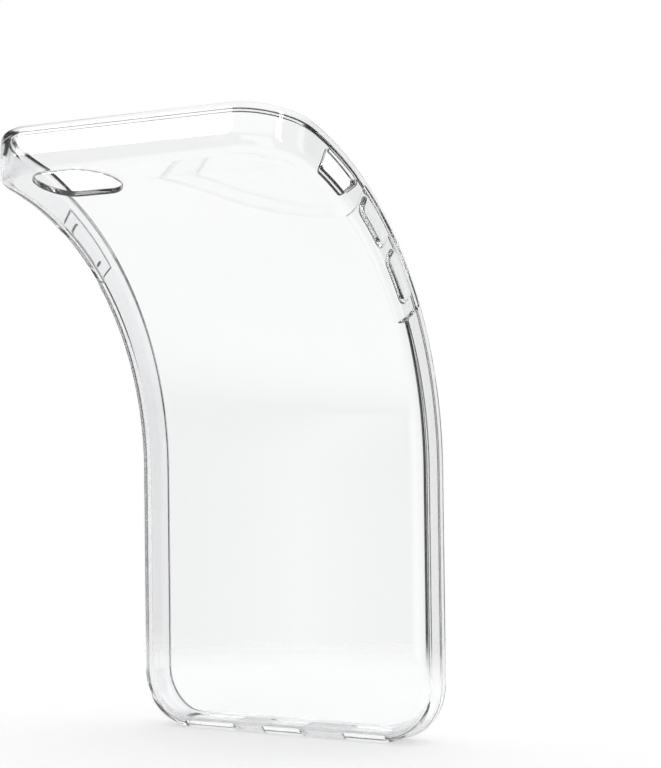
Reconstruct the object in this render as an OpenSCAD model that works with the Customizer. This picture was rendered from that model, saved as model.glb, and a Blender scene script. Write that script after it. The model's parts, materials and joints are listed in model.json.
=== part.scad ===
// Flexible phone case, modelled half peeled off the phone. The case is one soft moulding,
// so the bend is shared out over hinge lines that cut the tray into stiff bands.
// X runs across the case, Y from its back to its open front, Z along its length.
// The origin is the middle of the flat face on the bottom edge, which the case stands on.

/* [Phone] */
// Width of the phone that the case fits
phone_width = 67.1; // [55:0.1:85]
// Length of the phone
phone_length = 138.3; // [120:0.1:175]
// Thickness of the phone
phone_thickness = 7.1; // [6:0.1:11]
// Radius of the phone's corners, seen from the back
phone_corner = 10.2; // [6:0.1:14]
// Gap between the phone and the wall round it
fit = 0.1; // [0:0.05:0.4]

/* [Shell] */
// Thickness of the side and end walls
wall = 1.5; // [1.2:0.1:2.5]
// Thickness of the back
back = 1.2; // [0.9:0.1:2]
// How far the rim stands above the phone's glass
rim_height = 1.1; // [0.5:0.1:2]
// How far the rim reaches in over the phone's edge
rim_overhang = 0.7; // [0.3:0.1:1.2]
// Outer radius where the back turns into the walls
edge_round = 3.2; // [2:0.1:3.6]
// Inner radius where the back turns into the walls
seat_round = 2.4; // [1.2:0.1:2.8]
// Outer radius along the rim
rim_round = 1.3; // [0.4:0.1:1.4]

/* [Camera opening] */
// Distance of the opening's middle from the centre line
camera_offset = 15.6; // [12:0.1:20]
// Distance of the opening's middle below the phone's top
camera_from_top = 7.6; // [7:0.1:10]
// Length of the opening across the case
camera_length = 18.4; // [15:0.1:26]
// Height of the opening along the case
camera_height = 11.2; // [8:0.1:12]
// Radius of the opening's corners
camera_round = 5.4; // [2:0.1:5.4]

/* [Buttons] */
// Length of each button cover
button_length = 10.6; // [8:0.1:14]
// Height of each button cover, across the wall
button_height = 4.4; // [3:0.1:5]
// Radius of a cover's corners
button_round = 1.6; // [0.6:0.1:2]
// Strip of wall between the two volume covers
button_spacing = 2.1; // [1.6:0.1:4]
// Gap all round a cover
button_gap = 0.15; // [0.1:0.05:0.3]
// How far a cover stands out past the case's side
button_proud = 0.15; // [0.05:0.05:0.5]
// How far a cover can be pressed in
button_travel = 0.4; // [0.2:0.05:0.5]
// Depth of the relief in the side walls round the covers
relief_depth = 0.45; // [0.2:0.05:0.6]
// How far the relief reaches past the covers at each end
relief_margin = 2.6; // [2:0.1:4]

/* [Mute opening] */
// Length of the opening for the mute switch
mute_length = 9.4; // [7:0.1:10]
// Height of the opening across the wall
mute_height = 4.6; // [3:0.1:5]
// How far the opening's middle sits above the middle of its band
mute_offset = 0.7; // [0:0.1:0.8]
// Radius of the opening's corners
mute_round = 1.2; // [0.4:0.1:1.4]

/* [Bottom openings] */
// Length of the charging port opening
port_length = 10; // [9:0.1:14]
// Length of the loudspeaker opening
speaker_length = 13; // [8:0.1:14]
// Middle of the loudspeaker opening, from the centre line
speaker_offset = 18; // [15:0.1:20]
// Length of the headphone opening
audio_length = 10.5; // [6:0.1:11]
// Middle of the headphone opening, from the centre line
audio_offset = 19.75; // [15:0.1:21]
// Height of the bottom openings, across the wall
port_height = 4.6; // [3:0.1:5]
// Radius of the bottom openings' corners
port_round = 1.1; // [0.4:0.1:1.4]

/* [Flex] */
// Number of hinge lines that share the bend
hinges = 6; // [4:1:8]
// Angle between one band and the next, as modelled
hinge_angle = 12.4; // [0:0.1:14]
// Gap between the straight faces of two bands
band_gap = 0.3; // [0.25:0.05:0.5]
// Radius of the rounded bead along each hinge line
bead_radius = 0.4; // [0.25:0.05:0.45]
// Running gap between a bead and its groove
bead_gap = 0.05; // [0.03:0.01:0.1]
// Strip of back between the camera opening and the first hinge line below it
camera_strip = 2.25; // [1.2:0.05:4]

/* [Hidden] */
$fn = 64;
past = 1; // how far a cut runs past the face that it opens
clear_resin = [0.86, 0.9, 0.92, 0.45];
cover_resin = [0.7, 0.76, 0.8, 0.6];

pocket_half = phone_width / 2 + fit;
half_width = pocket_half + wall;
case_length = phone_length + 2 * fit + 2 * wall;
case_depth = back + phone_thickness + rim_height;
case_corner = phone_corner + fit + wall;
corner_axis = half_width - case_corner;
phone_top = case_length - wall - fit;

// Depths, counted from the middle of the flat strip along the bottom edge.
back_y = -(edge_round + case_depth - rim_round) / 2;
seat_y = back_y + back;
glass_y = seat_y + phone_thickness + fit;
front_y = back_y + case_depth;
middle_y = seat_y + phone_thickness / 2;
hinge_y = back_y + back / 2;

// Hinge lines, counted from the bottom one, and the covers centred between them.
band_pitch = button_length + button_spacing;
top_hinge_z = phone_top - camera_from_top - camera_height / 2 - camera_strip;
function hinge_z(i) = top_hinge_z - (hinges - i) * band_pitch;
function band_middle_z(i) = hinge_z(i) + band_pitch / 2;
mute_band = hinges - 1;
volume_up_band_at = hinges - 2;
volume_down_band_at = hinges - 3;
bead_half = half_width - edge_round - 0.5;

// What lies outside a rounded corner whose solid is towards -X and +Y.
module corner_waste(r) {
    difference() {
        translate([-r, -past])
            square([r + past, r + past]);
        translate([-r, r])
            circle(r);
    }
}

// A slab seen end on, with one radius on its lower corners and another on its upper ones.
module rounded_slab(half, low, high, low_round, high_round) {
    difference() {
        translate([-half, low])
            square([2 * half, high - low]);
        for (side = [0, 1])
            mirror([side, 0]) {
                translate([half, low])
                    corner_waste(low_round);
                translate([half, high])
                    mirror([0, 1])
                        corner_waste(high_round);
            }
    }
}

// The case cut across: back, two walls and the rim that turns in over the phone.
module section() {
    rim_half = pocket_half - rim_overhang;
    difference() {
        rounded_slab(half_width, back_y, front_y, edge_round, rim_round);
        rounded_slab(pocket_half, seat_y, glass_y, seat_round, rim_round);
        translate([-rim_half, middle_y])
            square([2 * rim_half, front_y - middle_y + past]);
    }
}

// The part of the section outside a corner's axis, which sweeps round the corner.
module wall_profile() {
    intersection() {
        translate([-corner_axis, 0])
            section();
        translate([0, back_y - past])
            square([case_corner + past, case_depth + 2 * past]);
    }
}

// One end of the tray, closed at z = 0 and open at z = length.
module end_tray(length) {
    translate([0, 0, case_corner])
        linear_extrude(length - case_corner)
            section();
    translate([-corner_axis, 0, case_corner])
        rotate([0, 90, 0])
            linear_extrude(2 * corner_axis)
                wall_profile();
    for (side = [0, 1])
        mirror([side, 0, 0])
            translate([corner_axis, 0, case_corner])
                rotate([-90, 0, 0])
                    rotate_extrude(angle = 90)
                        wall_profile();
}

// The bead on the upper edge of a band, on hinge line i.
module bead(i) {
    translate([-bead_half, hinge_y, hinge_z(i)])
        rotate([0, 90, 0])
            cylinder(r = bead_radius, h = 2 * bead_half);
}

// The groove in the lower edge of the band above hinge line i.
module groove(i) {
    translate([-bead_half - bead_gap, hinge_y, hinge_z(i)])
        rotate([0, 90, 0])
            cylinder(r = bead_radius + bead_gap, h = 2 * (bead_half + bead_gap));
}

// A rounded plate standing across X, centred on the phone's mid-thickness.
module side_plate(x_from, x_to, z, length, height, round) {
    translate([x_from, middle_y, z])
        rotate([0, 90, 0])
            linear_extrude(x_to - x_from)
                rounded_slab(length / 2, -height / 2, height / 2, round, round);
}

// The hole in a side wall that a button cover fills.
module cover_window(side, z) {
    mirror([side < 0 ? 1 : 0, 0, 0])
        side_plate(pocket_half - rim_overhang - past, half_width + past, z,
                   button_length + 2 * button_gap, button_height + 2 * button_gap,
                   button_round + button_gap);
}

// A button cover, which leaves room behind it for the phone's button and its own travel.
module cover(side, z) {
    mirror([side < 0 ? 1 : 0, 0, 0])
        side_plate(pocket_half + button_travel, half_width + button_proud, z,
                   button_length, button_height, button_round);
}

// The shallow relief that sets the covers off from the wall, with ends that slope out.
module relief(side, z_from, z_to) {
    slope = 2 * relief_depth;
    mirror([side < 0 ? 1 : 0, 0, 0])
        translate([half_width - relief_depth, front_y + past, 0])
            rotate([90, 0, 0])
                linear_extrude(case_depth + 2 * past)
                    polygon([[0, z_from], [0, z_to], [relief_depth + past, z_to + slope],
                             [relief_depth + past, z_from - slope]]);
}

module reliefs() {
    relief(1, band_middle_z(volume_down_band_at) - button_length / 2 - relief_margin,
           band_middle_z(volume_up_band_at) + button_length / 2 + button_spacing / 2);
    relief(-1, band_middle_z(volume_up_band_at) - button_length / 2 - relief_margin,
           band_middle_z(volume_up_band_at) + button_length / 2 + relief_margin);
}

// A stiff band of the tray between hinge line i and the next one up.
module band(i) {
    difference() {
        union() {
            translate([0, 0, hinge_z(i) + band_gap / 2])
                linear_extrude(band_pitch - band_gap)
                    section();
            bead(i + 1);
        }
        groove(i);
        reliefs();
    }
}

// Carries children, drawn on the straight case, to where the bend takes band i.
module bent(i) {
    if (i > 0)
        bent(i - 1)
            translate([0, hinge_y, hinge_z(i)])
                rotate([hinge_angle, 0, 0])
                    translate([0, -hinge_y, -hinge_z(i)])
                        children();
    else
        children();
}

// An opening in the bottom wall, cut far enough to pass the wall where it turns the corner.
module bottom_opening(x, length) {
    translate([x, middle_y, -past])
        linear_extrude(case_corner + past)
            rounded_slab(length / 2, -port_height / 2, port_height / 2, port_round, port_round);
}

module bottom_end() {
    color(clear_resin)
        difference() {
            union() {
                end_tray(hinge_z(1) - band_gap / 2);
                bead(1);
            }
            bottom_opening(0, port_length);
            bottom_opening(-speaker_offset, speaker_length);
            bottom_opening(audio_offset, audio_length);
        }
}

module plain_band(i) {
    color(clear_resin)
        bent(i)
            band(i);
}

module volume_down_band() {
    color(clear_resin)
        bent(volume_down_band_at)
            difference() {
                band(volume_down_band_at);
                cover_window(1, band_middle_z(volume_down_band_at));
            }
}

module volume_up_band() {
    color(clear_resin)
        bent(volume_up_band_at)
            difference() {
                band(volume_up_band_at);
                cover_window(1, band_middle_z(volume_up_band_at));
                cover_window(-1, band_middle_z(volume_up_band_at));
            }
}

module mute_switch_band() {
    color(clear_resin)
        bent(mute_band)
            difference() {
                band(mute_band);
                side_plate(pocket_half - rim_overhang - past, half_width + past,
                           band_middle_z(mute_band) + mute_offset, mute_length, mute_height,
                           mute_round);
            }
}

module camera_end() {
    color(clear_resin)
        bent(hinges)
            difference() {
                translate([0, 0, case_length])
                    mirror([0, 0, 1])
                        end_tray(case_length - hinge_z(hinges) - band_gap / 2);
                translate([-camera_offset, seat_y + past, phone_top - camera_from_top])
                    rotate([90, 0, 0])
                        linear_extrude(back + 2 * past)
                            rounded_slab(camera_length / 2, -camera_height / 2,
                                         camera_height / 2, camera_round, camera_round);
                groove(hinges);
            }
}

module volume_up_cover() {
    color(cover_resin)
        bent(volume_up_band_at)
            cover(1, band_middle_z(volume_up_band_at));
}

module volume_down_cover() {
    color(cover_resin)
        bent(volume_down_band_at)
            cover(1, band_middle_z(volume_down_band_at));
}

module power_cover() {
    color(cover_resin)
        bent(volume_up_band_at)
            cover(-1, band_middle_z(volume_up_band_at));
}

bottom_end();
plain_band(1);  // lower_band
plain_band(2);  // middle_band
volume_down_band();
volume_up_band();
mute_switch_band();
camera_end();
volume_up_cover();
volume_down_cover();
power_cover();
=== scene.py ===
import json
import math

import bmesh
import bpy
import numpy as np
from mathutils import Matrix, Vector
from mathutils.geometry import delaunay_2d_cdt

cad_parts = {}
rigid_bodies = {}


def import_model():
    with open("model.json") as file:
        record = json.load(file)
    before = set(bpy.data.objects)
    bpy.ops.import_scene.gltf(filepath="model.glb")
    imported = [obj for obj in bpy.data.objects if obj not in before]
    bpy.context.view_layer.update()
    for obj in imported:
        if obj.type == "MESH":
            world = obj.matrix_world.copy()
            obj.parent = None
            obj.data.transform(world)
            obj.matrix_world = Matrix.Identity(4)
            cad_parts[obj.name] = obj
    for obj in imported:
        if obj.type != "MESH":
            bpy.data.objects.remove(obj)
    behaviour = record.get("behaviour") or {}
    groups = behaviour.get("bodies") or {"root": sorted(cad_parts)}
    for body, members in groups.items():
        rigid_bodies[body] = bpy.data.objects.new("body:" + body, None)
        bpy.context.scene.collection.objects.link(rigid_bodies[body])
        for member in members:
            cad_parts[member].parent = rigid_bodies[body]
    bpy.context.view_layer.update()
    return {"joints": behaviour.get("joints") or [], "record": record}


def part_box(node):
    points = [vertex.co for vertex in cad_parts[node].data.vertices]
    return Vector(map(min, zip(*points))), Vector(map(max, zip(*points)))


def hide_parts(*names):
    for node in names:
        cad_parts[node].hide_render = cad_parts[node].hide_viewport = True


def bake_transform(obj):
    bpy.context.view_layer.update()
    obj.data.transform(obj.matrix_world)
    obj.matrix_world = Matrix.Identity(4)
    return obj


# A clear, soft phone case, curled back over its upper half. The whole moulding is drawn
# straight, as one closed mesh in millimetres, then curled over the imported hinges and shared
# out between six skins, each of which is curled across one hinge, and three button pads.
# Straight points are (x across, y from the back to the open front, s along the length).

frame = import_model()
MM = 0.001

# ---------------------------------------------------------------- sizes from the frame
flex = sorted((j for j in frame["joints"] if j["name"].startswith("flex_")),
              key=lambda joint: joint["name"])
mounts = {mount["name"]: mount for mount in frame["record"]["mounts"]}
tray_low, tray_high = (np.array(corner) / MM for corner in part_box("bottom_end"))
HALF_WIDTH = tray_high[0]
BACK_Y = tray_low[1]
FRONT_Y = tray_high[1]
SEAT_Y = mounts["phone_seat"]["pos_m"][1] / MM
HINGE_Y = flex[0]["pos_m"][1] / MM
PITCH = (Vector(flex[1]["pos_m"]) - Vector(flex[0]["pos_m"])).length / MM
TURN = math.radians(-flex[0]["range_deg"][0])
BEND_FROM = flex[0]["pos_m"][2] / MM - PITCH / 2
BEND_TO = BEND_FROM + PITCH * len(flex)
BEND_RADIUS = PITCH / 2 / math.tan(TURN / 2)

# ---------------------------------------------------------------- sizes of the moulding, mm
LENGTH = 141.5
CORNER = 11.8           # radius of the case's corners, seen from the back
WALL = 1.5
GLASS_Y = SEAT_Y + 7.2  # the phone's front, under the rim
OVERHANG = 0.7          # how far the rim turns in over the phone
EDGE_ROUND = 3.2        # outer edge from the back to the walls
SEAT_ROUND = 2.4        # inner edge from the back to the walls
RIM_ROUND = 1.3
LIP_ROUND = 0.3
FLAT_STRIP = 0.3        # flat run between a round edge and the grid that fills the back
MIDDLE_Y = SEAT_Y + 3.55
PHONE_TOP = LENGTH - WALL - 0.1
COLUMN = 0.6            # spacing of the mesh along the long sides
FINE_COLUMN = COLUMN / 5
FINE_REACH = 1.2        # how near a step in the wall the fine spacing starts
END_COLUMN = 1.5        # spacing of the mesh along the ends
ROW = 1.1               # spacing of the mesh on the back
ROW_GAP = 0.6           # clear strip between the back's edge and its grid
HOLE_EDGE = 0.22        # radius of the edges round the openings
CUTTER_PAST = 0.8       # how far a cutter stands out past both surfaces
SHARP_ANGLE = 40        # degrees between faces that are shaded as a sharp edge

BUTTON_LENGTH = 10.6
RELIEF_DEPTH = 0.45
RELIEF_END = 0.25     # half the length of the slope at each end of a relief
RELIEF_MARGIN = 2.6   # how far a relief reaches past its buttons
RELIEF_TOP = 1        # and past the upper volume button, where the switch's opening is near
RELIEF_BACK = (0.15, 0.6)   # where it starts above the back, and the height of its slope there
RELIEF_RIM = (0.2, 0.5)     # the same below the rim's round edge
PAD_LENGTH = 10.9     # a button's raised pad at its foot
PAD_HEIGHT = 4.7
PAD_ROUND = 1.75
PAD_FLANK = 0.75      # width of the slope from its foot to its top
PAD_PROUD = 0.12      # how far its top stands out past the case's side
PAD_SKIRT = 0.3       # flat strip round the foot that belongs to the pad

CAMERA_X = -15.6
CAMERA_S = PHONE_TOP - 7.6
CAMERA_LENGTH = 18.4
CAMERA_HEIGHT = 11.2
CAMERA_ROUND = 5.4

PORTS = ((0, 10), (-18, 13), (19.75, 10.5))   # middle and length across the bottom wall
PORT_HEIGHT = 4.6
PORT_ROUND = 1.1

# The mute switch's opening: its corners' distances below the phone's top and from the back.
MUTE_CORNERS = ((14.85, 2.35), (15.5, 6.7), (26.3, 6.7), (23.7, 2.35))
MUTE_ROUND = 0.8


def band_middle(i):
    """Middle of the band above hinge i, counted from 1."""
    return BEND_FROM + i * PITCH


VOLUME_DOWN_S = band_middle(3)
VOLUME_UP_S = band_middle(4)
POWER_S = band_middle(4)
# Each pad's side of the case and its middle.
PADS = {"volume_up_cover": (1, VOLUME_UP_S), "volume_down_cover": (1, VOLUME_DOWN_S),
        "power_cover": (-1, POWER_S)}


# ---------------------------------------------------------------- the bend
def bend(points):
    """Curls straight points: evenly from BEND_FROM to BEND_TO, and straight on past it."""
    x, y, s = points.T
    angle = TURN * np.clip(s - BEND_FROM, 0, BEND_TO - BEND_FROM) / PITCH
    past = np.maximum(s - BEND_TO, 0)
    out = y - HINGE_Y
    sin, cos = np.sin(angle), np.cos(angle)
    bent_y = HINGE_Y - BEND_RADIUS * (1 - cos) - sin * past + cos * out
    bent_z = np.minimum(s, BEND_FROM) + BEND_RADIUS * sin + cos * past + sin * out
    return np.stack([x, bent_y, bent_z], axis=1)


def bend_normals(points, normals):
    """Turns the normals at straight points with the bend."""
    s = points[:, 2]
    inside = (s > BEND_FROM) & (s < BEND_TO)
    stretch = np.where(inside, (BEND_RADIUS + points[:, 1] - HINGE_Y) * TURN / PITCH, 1.0)
    angle = TURN * np.clip(s - BEND_FROM, 0, BEND_TO - BEND_FROM) / PITCH
    sin, cos = np.sin(angle), np.cos(angle)
    along = normals[:, 2] / stretch
    turned = np.stack([normals[:, 0], normals[:, 1] * cos - along * sin,
                       normals[:, 1] * sin + along * cos], axis=1)
    return turned / np.linalg.norm(turned, axis=1, keepdims=True)


# ---------------------------------------------------------------- outlines
def arc(centre, radius, start, stop, count):
    angles = np.radians(np.linspace(start, stop, count + 1))
    return [(centre[0] + radius * math.cos(a), centre[1] + radius * math.sin(a)) for a in angles]


def line(start, stop, count):
    steps = np.linspace(0, 1, count + 1)
    return [tuple(np.array(start) * (1 - t) + np.array(stop) * t) for t in steps]


def joined(*runs):
    """The runs end to end, without the points that two of them share."""
    points = []
    for run in runs:
        for point in run:
            if not points or math.dist(points[-1], point) > 1e-6:
                points.append(point)
    return points


def wall_profile():
    """(depth in from the outer wall, y), from the back round the wall and rim to the seat."""
    lip = WALL + OVERHANG
    under = GLASS_Y - RIM_ROUND + math.sqrt(RIM_ROUND ** 2 - (RIM_ROUND - OVERHANG) ** 2)
    lean = math.degrees(math.acos(1 - OVERHANG / RIM_ROUND))
    return joined(
        [(EDGE_ROUND + FLAT_STRIP, BACK_Y)],
        arc((EDGE_ROUND, BACK_Y + EDGE_ROUND), EDGE_ROUND, 270, 180, 24),
        line((0, BACK_Y + EDGE_ROUND), (0, FRONT_Y - RIM_ROUND), 26),
        arc((RIM_ROUND, FRONT_Y - RIM_ROUND), RIM_ROUND, 180, 90, 8),
        arc((lip - LIP_ROUND, FRONT_Y - LIP_ROUND), LIP_ROUND, 90, 0, 4),
        arc((lip - LIP_ROUND / 2, under + LIP_ROUND / 2), LIP_ROUND / 2, 0, -60, 3),
        arc((WALL + RIM_ROUND, GLASS_Y - RIM_ROUND), RIM_ROUND, 180 - lean + 8, 180, 6),
        line((WALL, GLASS_Y - RIM_ROUND), (WALL, SEAT_Y + SEAT_ROUND), 6),
        arc((WALL + SEAT_ROUND, SEAT_Y + SEAT_ROUND), SEAT_ROUND, 180, 270, 10),
        [(WALL + SEAT_ROUND + FLAT_STRIP, SEAT_Y)])


def outline():
    """The case's outer wall seen from the back: points (x, s) and outward normals."""
    across, low, high = HALF_WIDTH - CORNER, CORNER, LENGTH - CORNER
    ends = np.linspace(-across, across, round(2 * across / END_COLUMN) + 1)
    sides = side_columns(low, high)
    points = np.array(joined(
        [(x, 0) for x in ends], arc((across, low), CORNER, -90, 0, 24),
        [(HALF_WIDTH, s) for s in sides], arc((across, high), CORNER, 0, 90, 24),
        [(-x, LENGTH) for x in ends], arc((-across, high), CORNER, 90, 180, 24),
        [(-HALF_WIDTH, s) for s in sides[::-1]], arc((-across, low), CORNER, 180, 270, 24))[:-1])
    core = np.clip(points, (-across, low), (across, high))
    normals = points - core
    return points, normals / np.linalg.norm(normals, axis=1, keepdims=True)


def side_columns(low, high):
    """Heights of the mesh's lines along the long sides, closer at the ends of what stands out
    of the walls."""
    steps = [s + way * half for s, half in
             ((VOLUME_UP_S, PAD_LENGTH / 2), (VOLUME_DOWN_S, PAD_LENGTH / 2),
              (VOLUME_DOWN_S, BUTTON_LENGTH / 2 + RELIEF_MARGIN),
              (POWER_S, BUTTON_LENGTH / 2 + RELIEF_MARGIN)) for way in (-1, 1)]
    heights, s = [low], low
    while s < high - COLUMN:
        near = min(abs(s - step) for step in steps) < FINE_REACH
        s += FINE_COLUMN if near else COLUMN
        heights.append(s)
    return heights[:-1] + [high]


def rounded_polygon(corners, radius, spacing=0.7):
    """A convex outline with round corners, counter-clockwise: points and outward normals."""
    points, normals = [], []
    corners = [Vector(c) for c in corners]
    ends = []
    for i, corner in enumerate(corners):
        back = (corners[i - 1] - corner).normalized()
        ahead = (corners[(i + 1) % len(corners)] - corner).normalized()
        half = back.angle(ahead) / 2
        centre = corner + (back + ahead).normalized() * (radius / math.sin(half))
        reach = radius / math.tan(half)
        ends.append((corner + back * reach, corner + ahead * reach, centre))
    for i, (start, stop, centre) in enumerate(ends):
        first = math.atan2(*(start - centre).yx)
        sweep = (math.atan2(*(stop - centre).yx) - first) % (2 * math.pi)
        steps = max(5, round(sweep * radius / 0.25))
        for k in range(steps + 1):
            a = first + sweep * k / steps
            normal = Vector((math.cos(a), math.sin(a)))
            points.append(centre + normal * radius)
            normals.append(normal)
        follow = ends[(i + 1) % len(ends)][0]
        normal = Vector(((follow - stop).y, -(follow - stop).x)).normalized()
        count = max(1, round((follow - stop).length / spacing))
        for k in range(1, count):
            points.append(stop.lerp(follow, k / count))
            normals.append(normal)
    return np.array(points), np.array(normals)


def rounded_box(length, height, radius, centre=(0, 0)):
    a, b = length / 2, height / 2
    corners = [(centre[0] + x, centre[1] + y) for x, y in ((-a, -b), (a, -b), (a, b), (-a, b))]
    return rounded_polygon(corners, radius)


# ---------------------------------------------------------------- the straight tray
def smooth_step(value):
    t = np.clip(value, 0, 1)
    return t * t * (3 - 2 * t)


def relief_depth(points):
    """How far the relief takes each outer point in. It ends in a round step below the rim,
    and fades out where the edge turns on to the back."""
    right = points[:, 0] > 0
    reach = BUTTON_LENGTH / 2 + RELIEF_MARGIN
    start = np.where(right, VOLUME_DOWN_S, POWER_S) - reach
    stop = np.where(right, VOLUME_UP_S + BUTTON_LENGTH / 2 + RELIEF_TOP, POWER_S + reach)
    s, depth = points[:, 2], points[:, 1] - BACK_Y
    ends = (smooth_step((s - start) / RELIEF_END / 2 + 0.5)
            * smooth_step((stop - s) / RELIEF_END / 2 + 0.5))
    front = FRONT_Y - RIM_ROUND - BACK_Y
    return (RELIEF_DEPTH * ends * smooth_step((depth - RELIEF_BACK[0]) / RELIEF_BACK[1])
            * smooth_step((front - RELIEF_RIM[0] - depth) / RELIEF_RIM[1]))


def pad_height(points):
    """How far the buttons' pads bring each outer point out again."""
    height = np.zeros(len(points))
    for side, s in PADS.values():
        reach = np.stack([abs(points[:, 2] - s) - PAD_LENGTH / 2 + PAD_ROUND,
                          abs(points[:, 1] - MIDDLE_Y) - PAD_HEIGHT / 2 + PAD_ROUND], axis=1)
        outside = (np.linalg.norm(np.maximum(reach, 0), axis=1)
                   + np.minimum(reach.max(axis=1), 0) - PAD_ROUND)
        here = np.sign(points[:, 0]) == side
        height += here * (RELIEF_DEPTH + PAD_PROUD) * smooth_step(-outside / PAD_FLANK)
    return height


def plate(mesh_points, ring, y):
    """Fills a ring of points, given by their numbers, with a grid on the plane at y."""
    flat = [mesh_points[i] for i in ring]
    edge = np.array([(p[0], p[2]) for p in flat])
    inner = HALF_WIDTH - abs(edge[:, 0]).max()
    across, low, high = HALF_WIDTH - CORNER, CORNER, LENGTH - CORNER
    xs = np.arange(-HALF_WIDTH, HALF_WIDTH, ROW)
    grid = np.array([(x, s) for s in np.arange(0, LENGTH, ROW) for x in xs])
    core = np.clip(grid, (-across, low), (across, high))
    keep = np.linalg.norm(grid - core, axis=1) < CORNER - inner - ROW_GAP
    grid = grid[keep]
    count = len(edge)
    flat_points = [Vector(p) for p in np.concatenate([edge, grid])]
    edges = [(i, (i + 1) % count) for i in range(count)]
    found = delaunay_2d_cdt(flat_points, edges, [list(range(count))], 1, 1e-6)
    first = len(mesh_points)
    mesh_points += [(p[0], y, p[1]) for p in grid]
    number = list(ring) + list(range(first, first + len(grid)))
    source = [o[0] for o in found[3]]
    return [[number[source[v]] for v in face] for face in found[2]]


def tray():
    """The moulding before its openings are cut: one closed mesh."""
    profile = wall_profile()
    base, normal = outline()
    outer = len([p for p in profile if p[0] < WALL and p[1] < FRONT_Y]) + 1
    points = []
    for depth, y in profile:
        inset = base - normal * depth
        points.append(np.stack([inset[:, 0], np.full(len(base), y), inset[:, 1]], axis=1))
    for row in points[:outer]:
        flat_side = abs(normal[:, 0]) > 0.99
        row[:, 0] += np.sign(row[:, 0]) * flat_side * (pad_height(row) - relief_depth(row))
    rows, columns = len(profile), len(base)
    faces = []
    for j in range(rows - 1):
        for i in range(columns):
            k = (i + 1) % columns
            faces.append([j * columns + i, j * columns + k,
                          (j + 1) * columns + k, (j + 1) * columns + i])
    points = [tuple(p) for row in points for p in row]
    faces += plate(points, range(columns), BACK_Y)
    faces += plate(points, range((rows - 1) * columns, rows * columns), SEAT_Y)
    return points, faces


# ---------------------------------------------------------------- openings
def cutter(shape, top, bottom, place):
    """A closed cutter along one axis, from top to bottom, that flares at both surfaces so that
    the hole gets round edges. place(plane points, height) gives the straight points."""
    points, normals = shape
    way = math.copysign(1, bottom - top)
    flare = [(HOLE_EDGE * math.cos(a), HOLE_EDGE * math.sin(a))
             for a in np.radians(np.linspace(0, 90, 6))]
    sections = [(top - way * CUTTER_PAST, HOLE_EDGE)]
    sections += [(top + way * down, out) for down, out in reversed(flare)]
    sections += [(bottom - way * down, out) for down, out in flare]
    sections += [(bottom + way * CUTTER_PAST, HOLE_EDGE)]
    rings = [place(points + normals * out, height) for height, out in sections]
    count = len(points)
    faces = [list(range(count)), list(range((len(rings) - 1) * count, len(rings) * count))]
    for j in range(len(rings) - 1):
        for i in range(count):
            k = (i + 1) % count
            faces.append([j * count + i, j * count + k, (j + 1) * count + k, (j + 1) * count + i])
    return [tuple(p) for ring in rings for p in ring], faces


def on_side(plane, x):
    return np.stack([np.full(len(plane), x), plane[:, 1], plane[:, 0]], axis=1)


def on_bottom(plane, s):
    return np.stack([plane[:, 0], plane[:, 1], np.full(len(plane), s)], axis=1)


def on_back(plane, y):
    return np.stack([plane[:, 0], np.full(len(plane), y), plane[:, 1]], axis=1)


def cutters():
    """The cutters of the mute switch's opening, the three ports and the camera's opening."""
    mute = [(PHONE_TOP - down, BACK_Y + out) for down, out in MUTE_CORNERS]
    yield cutter(rounded_polygon(mute, MUTE_ROUND), HALF_WIDTH, HALF_WIDTH - WALL, on_side)
    for x, length in PORTS:
        port = rounded_box(length, PORT_HEIGHT, PORT_ROUND, centre=(x, MIDDLE_Y))
        yield cutter(port, 0, WALL, on_bottom)
    camera = rounded_box(CAMERA_LENGTH, CAMERA_HEIGHT, CAMERA_ROUND,
                         centre=(CAMERA_X, CAMERA_S))
    yield cutter(camera, BACK_Y, SEAT_Y, on_back)


# ---------------------------------------------------------------- mesh helpers
def new_mesh(name, points, faces):
    mesh = bpy.data.meshes.new(name)
    mesh.from_pydata([tuple(p) for p in points], [], [list(f) for f in faces])
    work = bmesh.new()
    work.from_mesh(mesh)
    bmesh.ops.recalc_face_normals(work, faces=work.faces)
    work.to_mesh(mesh)
    work.free()
    return mesh


def new_object(name, mesh):
    made = bpy.data.objects.new(name, mesh)
    bpy.context.scene.collection.objects.link(made)
    return made


def cut_tray():
    """The tray with its openings cut, still straight, split along the lines between skins."""
    whole = new_object("tray", new_mesh("tray", *tray()))
    removed = []
    for number, (points, faces) in enumerate(cutters()):
        tool = new_object(f"cutter_{number}", new_mesh("cutter", points, faces))
        modifier = whole.modifiers.new("cut", "BOOLEAN")
        modifier.object, modifier.operation, modifier.solver = tool, "DIFFERENCE", "MANIFOLD"
        removed.append(tool)
    bpy.context.view_layer.update()
    evaluated = whole.evaluated_get(bpy.context.evaluated_depsgraph_get())
    work = bmesh.new()
    work.from_mesh(evaluated.to_mesh())
    evaluated.to_mesh_clear()
    for made in removed + [whole]:
        bpy.data.objects.remove(made)
    for i in range(1, len(flex)):
        bmesh.ops.bisect_plane(work, geom=work.verts[:] + work.edges[:] + work.faces[:],
                               plane_co=(0, 0, band_middle(i)), plane_no=(0, 0, 1), dist=1e-5)
    mesh = bpy.data.meshes.new("cut_tray")
    work.to_mesh(mesh)
    work.free()
    mesh.shade_smooth()
    mesh.set_sharp_from_angle(angle=math.radians(SHARP_ANGLE))
    return mesh


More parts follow.
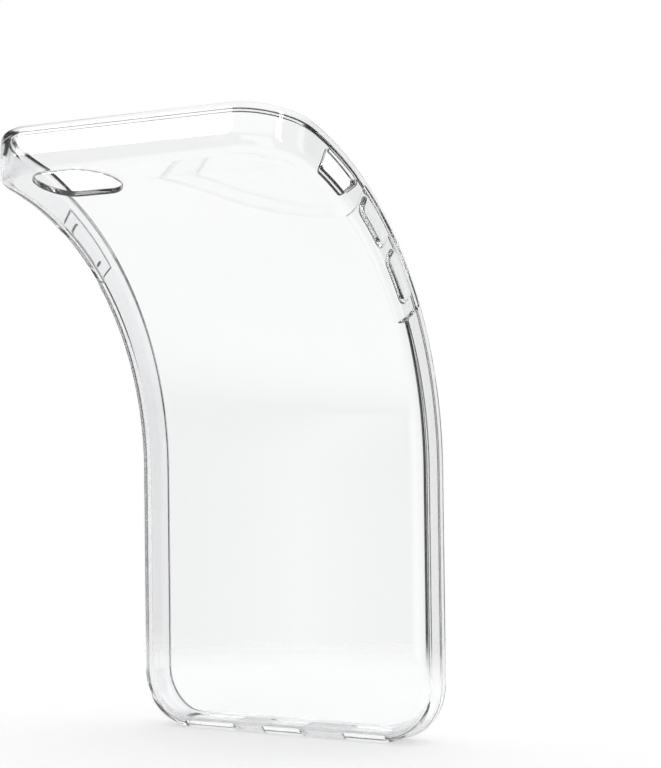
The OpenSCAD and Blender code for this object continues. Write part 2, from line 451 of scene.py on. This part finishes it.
def curled_piece(name, mesh, faces, material):
    """A new piece with some faces of a straight mesh, curled, in metres, shaded as the whole
    straight mesh is, so that no seam shows between two pieces."""
    points = np.zeros(len(mesh.vertices) * 3)
    mesh.vertices.foreach_get("co", points)
    points = points.reshape(-1, 3)
    corner_normals = np.array([n.vector for n in mesh.corner_normals])
    used, number, polygons, normals = [], {}, [], []
    for face in faces:
        polygon = mesh.polygons[face]
        for v in polygon.vertices:
            if v not in number:
                number[v] = len(used)
                used.append(v)
        polygons.append([number[v] for v in polygon.vertices])
        normals += [(v, corner_normals[loop])
                    for v, loop in zip(polygon.vertices, polygon.loop_indices)]
    made = bpy.data.meshes.new(name)
    made.from_pydata([tuple(p) for p in bend(points[used]) * MM], [], polygons)
    made.shade_smooth()
    at = points[[v for v, _ in normals]]
    turned = bend_normals(at, np.array([n for _, n in normals]))
    made.normals_split_custom_set([tuple(n) for n in turned])
    made.materials.append(material)
    return new_object(name, made)


# ---------------------------------------------------------------- shader nodes
def mapped(tree, value, start, stop, low, high, smooth=True):
    """value, which runs from start to stop, as a number that runs from low to high."""
    node = tree.nodes.new("ShaderNodeMapRange")
    node.interpolation_type = "SMOOTHSTEP" if smooth else "LINEAR"
    for name, number in zip(("From Min", "From Max", "To Min", "To Max"),
                            (start, stop, low, high)):
        node.inputs[name].default_value = number
    tree.links.new(value, node.inputs["Value"])
    return node.outputs["Result"]


def math_node(tree, operation, first, second):
    node = tree.nodes.new("ShaderNodeMath")
    node.operation = operation
    tree.links.new(first, node.inputs[0])
    tree.links.new(second, node.inputs[1])
    return node.outputs["Value"]


def vector_node(tree, operation, vector, other=None):
    node = tree.nodes.new("ShaderNodeVectorMath")
    node.operation = operation
    tree.links.new(vector, node.inputs[0])
    if other:
        node.inputs[1].default_value = other
    return node.outputs["Value" if operation in ("DOT_PRODUCT", "LENGTH") else "Vector"]


def noise(tree, scale, detail=2):
    place = tree.nodes.new("ShaderNodeTexCoord")
    node = tree.nodes.new("ShaderNodeTexNoise")
    node.inputs["Scale"].default_value = scale
    node.inputs["Detail"].default_value = detail
    tree.links.new(place.outputs["Object"], node.inputs["Vector"])
    return node.outputs["Fac"]


def new_material(name):
    """A node material: its tree and the inputs of its shader."""
    material = bpy.data.materials.new(name)
    material.use_nodes = True
    tree = material.node_tree
    return material, tree, tree.nodes["Principled BSDF"].inputs


# ---------------------------------------------------------------- materials
def clear_plastic(name, colour, haze):
    """Clear soft plastic: glassy, faintly hazy, with the slight unevenness of a moulding."""
    material, tree, inputs = new_material(name)
    inputs["Base Color"].default_value = (*colour, 1)
    inputs["IOR"].default_value = 1.49
    speckle = noise(tree, 90, detail=3)
    tree.links.new(mapped(tree, speckle, 0, 1, 0, 0.02, smooth=False), inputs["Roughness"])
    cloud = noise(tree, 28)
    tree.links.new(mapped(tree, cloud, 0, 1, 1 - haze, 1 - haze / 2, smooth=False),
                   inputs["Transmission Weight"])
    ripple = tree.nodes.new("ShaderNodeBump")
    ripple.inputs["Strength"].default_value = 0.02
    ripple.inputs["Distance"].default_value = 0.0004
    tree.links.new(cloud, ripple.inputs["Height"])
    tree.links.new(ripple.outputs["Normal"], inputs["Normal"])
    return material


# ---------------------------------------------------------------- pieces
def face_middles(mesh):
    points = np.zeros(len(mesh.polygons) * 3)
    mesh.polygons.foreach_get("center", points)
    return points.reshape(-1, 3)


def make_skins(mesh, owned, material):
    """Six skins, from the bottom up, each curled across one hinge."""
    limits = [band_middle(i) for i in range(1, len(flex))]
    owner = np.searchsorted(limits, face_middles(mesh)[:, 2])
    names = ("bottom_shell", "lower_shell", "volume_down_shell", "volume_up_shell",
             "mute_switch_shell", "camera_shell")
    for i, (name, joint) in enumerate(zip(names, flex)):
        faces = np.nonzero((owner == i) & ~owned)[0]
        skin = curled_piece(name, mesh, faces, material)
        ends = bend(np.array([(0, HINGE_Y, band_middle(i)), (0, HINGE_Y, band_middle(i + 1))]))
        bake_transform(skin)
        stands_for = [joint["parent"], joint["child"]] if i == 0 else [joint["child"]]
        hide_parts(*stands_for)


def pad_faces(mesh, side, s):
    """The outer faces of the wall within a pad's skirt."""
    middles = face_middles(mesh)
    return ((abs(middles[:, 2] - s) < PAD_LENGTH / 2 + PAD_SKIRT)
            & (abs(middles[:, 1] - MIDDLE_Y) < PAD_HEIGHT / 2 + PAD_SKIRT)
            & (middles[:, 0] * side > HALF_WIDTH - WALL + 0.5))


def make_pads(mesh, material):
    """The pads, cut out of the wall's outer face. Returns which faces are a pad's."""
    owned = np.zeros(len(mesh.polygons), bool)
    for node, (side, s) in PADS.items():
        mine = pad_faces(mesh, side, s)
        owned |= mine
        pad = curled_piece(node.replace("cover", "pad"), mesh, np.nonzero(mine)[0], material)
        foot, top = (bend(np.array([(side * x, MIDDLE_Y, s)]))[0] * MM
                     for x in (HALF_WIDTH - RELIEF_DEPTH, HALF_WIDTH + PAD_PROUD))
        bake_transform(pad)
        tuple(foot)
        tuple(top)
        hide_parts(node)
    return owned


# ---------------------------------------------------------------- stage
FLOOR_RADIUS = 0.9
FLOOR_Y = -0.02
FLOOR_FADE = (0.1, 0.2)   # distances where it starts to fade and is gone

# Middle azimuth, half width and top (the sine of its elevation) of each dark flag.
FLAGS = ((72, 11, 0.36), (100, 18, 0.36), (145, 16, 0.36), (194.3, 4.2, 0.36),
         (305, 22, 0.36), (345, 17, 0.36), (120, 56, -0.34), (175, 29, -0.34),
         (251, 10.5, -0.3), (300, 52, -0.34), (6, 20, -0.34))

FLAG_FADE = 0.06                 # height over which a flag's top edge fades
FLAG_SOFT = 3.5                  # degrees over which its sides do, or less on a narrow one
OVERHEAD_STARTS = (0.23, 0.27)   # the dark band overhead fades in between these heights
OVERHEAD_ENDS = (0.5, 0.42)      # and is gone and still full at these
WHITE = (1, 1, 1, 1)
DARK = (0.012, 0.012, 0.015, 1)

LAMPS_FACE = (0, -0.01, 0.07)   # the case's middle, which the lights point at
LAMP_DISTANCE = 0.9

CAMERA_PLACE = (0.22554, -0.34917, 0.06301)
CAMERA_AZIMUTH = 31.62
CAMERA_ELEVATION = -1.29
CAMERA_ROLL = -0.71
CAMERA_LENS = 93.33


def direction_to(azimuth, elevation):
    """Unit vector towards an azimuth (0 is -Y, 90 is +X) and an elevation, in degrees."""
    a, e = math.radians(azimuth), math.radians(elevation)
    return Vector((math.sin(a) * math.cos(e), -math.cos(a) * math.cos(e), math.sin(e)))


def make_floor():
    """A pale floor that fades out into the background before it ends."""
    mesh = bpy.data.meshes.new("floor")
    around = np.linspace(0, 2 * math.pi, 96, endpoint=False)
    mesh.from_pydata([(FLOOR_RADIUS * math.cos(a), FLOOR_RADIUS * math.sin(a) + FLOOR_Y, 0)
                      for a in around], [], [list(range(len(around)))])
    material, tree, inputs = new_material("pale_floor")
    inputs["Base Color"].default_value = (0.95, 0.95, 0.95, 1)
    inputs["Roughness"].default_value = 0.7
    inputs["Emission Color"].default_value = WHITE
    inputs["Emission Strength"].default_value = 0.24
    place = tree.nodes.new("ShaderNodeTexCoord")
    reach = vector_node(tree, "LENGTH", place.outputs["Object"])
    tree.links.new(mapped(tree, reach, *FLOOR_FADE, 1, 0), inputs["Alpha"])
    mesh.materials.append(material)
    new_object("floor", mesh)


def make_world():
    """A white studio with dark flags, which draw the clear edges, and a dark band overhead."""
    world = bpy.data.worlds.new("studio")
    bpy.context.scene.world = world
    world.use_nodes = True
    tree = world.node_tree
    direction = tree.nodes.new("ShaderNodeTexCoord").outputs["Generated"]
    level = vector_node(tree, "MULTIPLY", direction, (1, 1, 0))
    heading = vector_node(tree, "NORMALIZE", level)
    split = tree.nodes.new("ShaderNodeSeparateXYZ")
    tree.links.new(direction, split.inputs["Vector"])
    height = split.outputs["Z"]
    dark = math_node(tree, "MULTIPLY", mapped(tree, height, *OVERHEAD_STARTS, 0, 1),
                     mapped(tree, height, *OVERHEAD_ENDS, 0, 1))
    for azimuth, half, top in FLAGS:
        a = math.radians(azimuth)
        towards = vector_node(tree, "DOT_PRODUCT", heading, (math.sin(a), -math.cos(a), 0))
        soft = min(FLAG_SOFT, half / 4)
        flag = math_node(tree, "MULTIPLY",
                         mapped(tree, towards, math.cos(math.radians(half + soft)),
                                math.cos(math.radians(half - soft)), 0, 1),
                         mapped(tree, height, top + FLAG_FADE, top, 0, 1))
        dark = math_node(tree, "MAXIMUM", dark, flag)
    mix = tree.nodes.new("ShaderNodeMix")
    mix.data_type = "RGBA"
    mix.inputs["A"].default_value = WHITE
    mix.inputs["B"].default_value = DARK
    tree.links.new(dark, mix.inputs["Factor"])
    tree.links.new(mix.outputs["Result"], tree.nodes["Background"].inputs["Color"])


def soft_box(name, azimuth, elevation, size, power):
    """A rectangular lamp, which shows in the case but doesn't light the floor."""
    way = direction_to(azimuth, elevation)
    light = bpy.data.lights.new(name, "AREA")
    light.shape = "RECTANGLE"
    light.size, light.size_y = size
    light.energy = power
    lamp = new_object(name, light)
    lamp.location = Vector(LAMPS_FACE) + way * LAMP_DISTANCE
    lamp.rotation_euler = way.to_track_quat("Z", "Y").to_euler()
    lamp.visible_diffuse = False


def make_camera():
    """At the height of the case's middle, turned to its right hand side."""
    back, roll = direction_to(CAMERA_AZIMUTH, CAMERA_ELEVATION), math.radians(CAMERA_ROLL)
    camera = bpy.data.cameras.new("camera")
    camera.lens = CAMERA_LENS
    camera.sensor_width = 36
    camera.clip_start, camera.clip_end = 0.01, 20
    eye = new_object("camera", camera)
    right = (-back).cross(Vector((0, 0, 1))).normalized()
    up = right.cross(-back)
    tilted = right * math.cos(roll) + up * math.sin(roll)
    above = up * math.cos(roll) - right * math.sin(roll)
    turn = Matrix((tilted, above, back)).transposed().to_4x4()
    eye.matrix_world = Matrix.Translation(CAMERA_PLACE) @ turn
    bpy.context.scene.camera = eye


make_camera()
make_world()
make_floor()
soft_box("key_light", 322, 34, (0.5, 0.35), 4)
soft_box("fill_light", 75, 25, (0.1, 0.6), 2)
bpy.context.scene.view_settings.view_transform = "Standard"

straight = cut_tray()
pads = make_pads(straight, clear_plastic("cover_plastic", (0.975, 0.985, 0.99), 0.04))
make_skins(straight, pads, clear_plastic("clear_plastic", (0.98, 0.985, 0.99), 0.04))
bpy.data.meshes.remove(straight)
